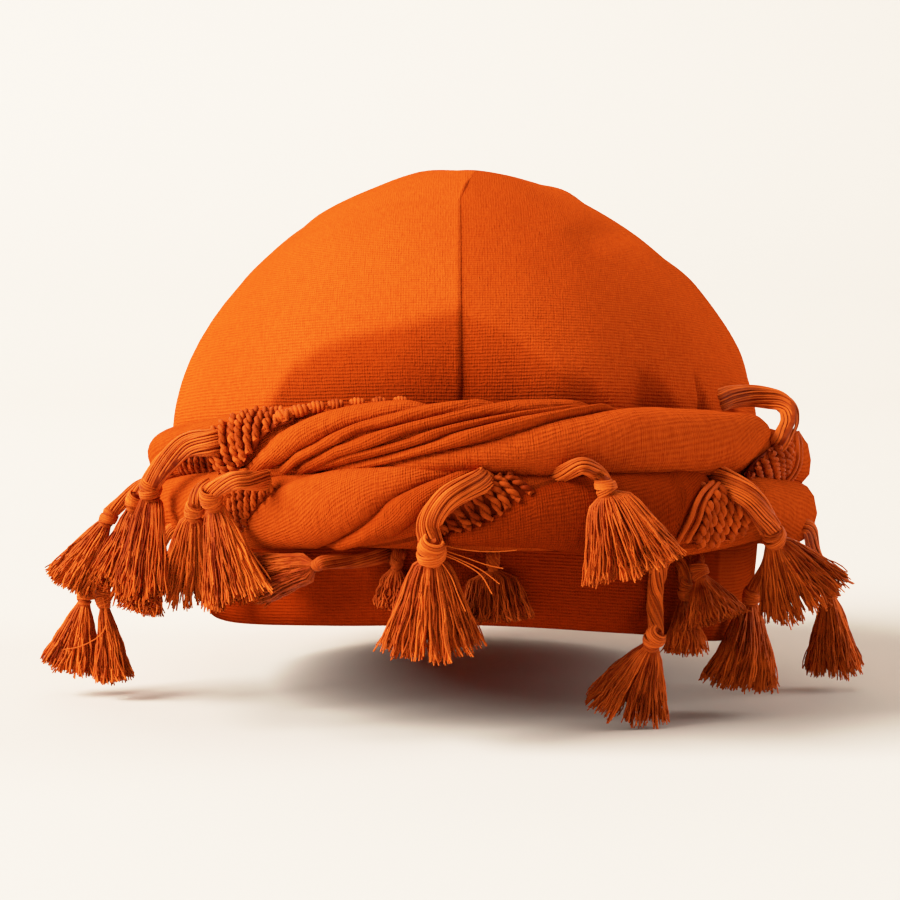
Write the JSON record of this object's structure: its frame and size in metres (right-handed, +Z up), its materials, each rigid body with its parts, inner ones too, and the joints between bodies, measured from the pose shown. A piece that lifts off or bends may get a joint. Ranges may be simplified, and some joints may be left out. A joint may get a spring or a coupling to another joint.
{
  "type": "turban hat",
  "caption": "Two-panel cloth cap wrapped in a twisted scarf with diagonal folds, knotted openwork border, thread cords and hanging tassels.",
  "frame": {"origin": "middle of the head opening, at rim level, where the hat sits on a head", "axes": "+Z up, -Y the front of the hat; left and right are as seen from the front, +X is right"},
  "size_m": [0.2478, 0.2483, 0.1582],
  "materials": {
    "crown_cloth": "matt ribbed cotton, orange",
    "scarf_cloth": "matt plain-weave cotton, burnt orange",
    "border_cord": "knotted twisted cotton cord, burnt orange",
    "fringe_thread": "loose cotton thread with a slight sheen, burnt orange"
  },
  "bodies": {
    "root": {"crown_panel_left": "crown_cloth", "crown_panel_right": "crown_cloth", "scarf_roll_upper": "scarf_cloth", "scarf_roll_lower": "scarf_cloth", "border_patch_01": "border_cord", "border_patch_02": "border_cord", "border_patch_03": "border_cord", "border_patch_04": "border_cord", "border_patch_05": "border_cord", "thread_loop": "fringe_thread", "tassel_01": "fringe_thread", "tassel_02": "fringe_thread", "tassel_03": "fringe_thread", "tassel_04": "fringe_thread", "tassel_05": "fringe_thread", "tassel_06": "fringe_thread", "tassel_07": "fringe_thread", "tassel_08": "fringe_thread", "tassel_09": "fringe_thread", "tassel_10": "fringe_thread", "tassel_11": "fringe_thread", "tassel_12": "fringe_thread", "tassel_13": "fringe_thread", "tassel_14": "fringe_thread", "tassel_15": "fringe_thread", "tassel_16": "fringe_thread", "tassel_17": "fringe_thread", "tassel_18": "fringe_thread", "tassel_19": "fringe_thread"}
  },
  "joints": []
}
